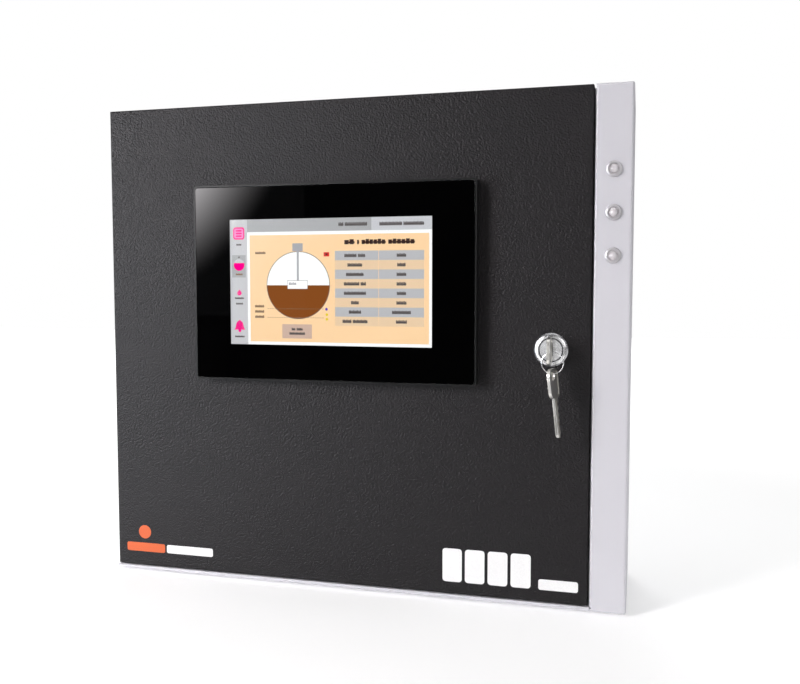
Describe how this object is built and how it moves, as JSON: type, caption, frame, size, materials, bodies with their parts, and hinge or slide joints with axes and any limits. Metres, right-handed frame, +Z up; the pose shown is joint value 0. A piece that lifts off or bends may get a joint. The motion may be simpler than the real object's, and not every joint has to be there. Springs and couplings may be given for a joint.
{
  "type": "hmi touch panel",
  "caption": "Wall-mounted control cabinet with a touch display and key lock in its left-hinged door, status lamps beside it, and controller, supply and terminals inside.",
  "frame": {"origin": "middle of the four wall holes, on the back face of the case", "axes": "+X to the right as one faces the door, +Y into the wall, +Z up"},
  "size_m": [0.384, 0.1223, 0.352],
  "materials": {
    "case_paint": "fine textured light grey powder coat, satin",
    "door_paint": "leather-grain textured black powder coat, satin",
    "zinc_steel": "bright zinc plate",
    "galvanised_sheet": "galvanised, satin",
    "grey_plastic": "matte",
    "white_plastic": "matte",
    "black_plastic": "matte",
    "circuit_board": "green solder mask",
    "brass": "machined",
    "component_black": "moulded components",
    "terminal_green": "matte",
    "lamp_ring": "satin chrome",
    "lamp_lens": "clear, water-white",
    "seal_foam": "closed-cell foam",
    "display_black": "black, satin",
    "display_glass": "back-printed black, gloss",
    "screen": "lit display",
    "lock_metal": "chrome plate, satin",
    "key_nickel": "nickel plate, worn",
    "ring_wire": "bright wire",
    "cable_black": "sleeved loom",
    "braid_copper": "tinned copper braid"
  },
  "bodies": {
    "case": {"case_back": "case_paint", "case_top": "case_paint", "case_bottom": "case_paint", "case_left": "case_paint", "case_right": "case_paint", "gland_plate": "galvanised_sheet", "gland_screws": "zinc_steel", "case_hinge_upper": "zinc_steel", "case_hinge_lower": "zinc_steel", "hinge_pin_upper": "zinc_steel", "hinge_pin_lower": "zinc_steel", "plate_studs": "zinc_steel", "mounting_plate": "galvanised_sheet", "plate_nuts": "zinc_steel", "din_rail": "galvanised_sheet", "rail_screws": "zinc_steel", "power_supply": "grey_plastic", "breaker_case": "white_plastic", "terminal_blocks": "grey_plastic", "terminal_end_stops": "grey_plastic", "controller_board": "circuit_board", "board_standoffs": "brass", "board_screws": "zinc_steel", "board_parts": "component_black", "board_terminals": "terminal_green", "blanking_plug_1": "black_plastic", "blanking_plug_2": "black_plastic", "case_earth_stud": "brass", "case_loom_clip": "white_plastic", "lamp_holder_1": "lamp_ring", "lamp_holder_2": "lamp_ring", "lamp_holder_3": "lamp_ring", "lamp_lens_1": "lamp_lens", "lamp_lens_2": "lamp_lens", "lamp_lens_3": "lamp_lens", "lamp_nut_1": "zinc_steel", "lamp_nut_2": "zinc_steel", "lamp_nut_3": "zinc_steel", "door_loom": "cable_black", "earth_strap": "braid_copper"},
    "door": {"door_panel": "door_paint", "door_seal": "seal_foam", "door_hinge_upper": "zinc_steel", "door_hinge_lower": "zinc_steel", "display_seal": "seal_foam", "display_frame": "display_black", "display_glass": "display_glass", "display_screen": "screen", "display_board": "circuit_board", "display_rear_cover": "black_plastic", "display_sockets": "terminal_green", "display_clamps": "black_plastic", "clamp_screws": "zinc_steel", "door_earth_stud": "brass", "door_loom_clip": "white_plastic", "lock_barrel": "lock_metal", "lock_nut": "lock_metal"},
    "lock_core": {"lock_plug": "lock_metal", "lock_cam": "lock_metal", "cam_screw": "zinc_steel"},
    "toggle": {"breaker_toggle": "black_plastic"},
    "key": {"lock_key": "key_nickel"},
    "ring": {"key_ring": "ring_wire"},
    "spare": {"spare_key": "key_nickel"}
  },
  "joints": [
    {"name": "door_swing", "type": "hinge", "parent": "case", "child": "door", "pos_m": [-0.1857, -0.071, 0], "axis": [0, 0, -1], "range_deg": [0, 110], "deforming": ["door_loom", "earth_strap"]},
    {"name": "lock_turn", "type": "hinge", "parent": "door", "child": "lock_core", "pos_m": [0.1406, -0.095, 0.0014], "axis": [0, -1, 0], "range_deg": [0, 90]},
    {"name": "key_slide", "type": "slide", "parent": "lock_core", "child": "key", "axis": [0, -1, 0], "range_m": [0, 0.025]},
    {"name": "ring_swing", "type": "hinge", "parent": "key", "child": "ring", "pos_m": [0.1406, -0.1129, 0.0014], "axis": [-1, 0, 0], "range_deg": [-5, 45]},
    {"name": "spare_swing", "type": "hinge", "parent": "ring", "child": "spare", "pos_m": [0.14333, -0.11293, -0.01414], "axis": [-0.9719, 0.2066, -0.1132], "range_deg": [-5, 30]},
    {"name": "breaker_switch", "type": "hinge", "parent": "case", "child": "toggle", "pos_m": [-0.066, -0.07, -0.085], "axis": [1, 0, 0], "range_deg": [0, 60]}
  ]
}
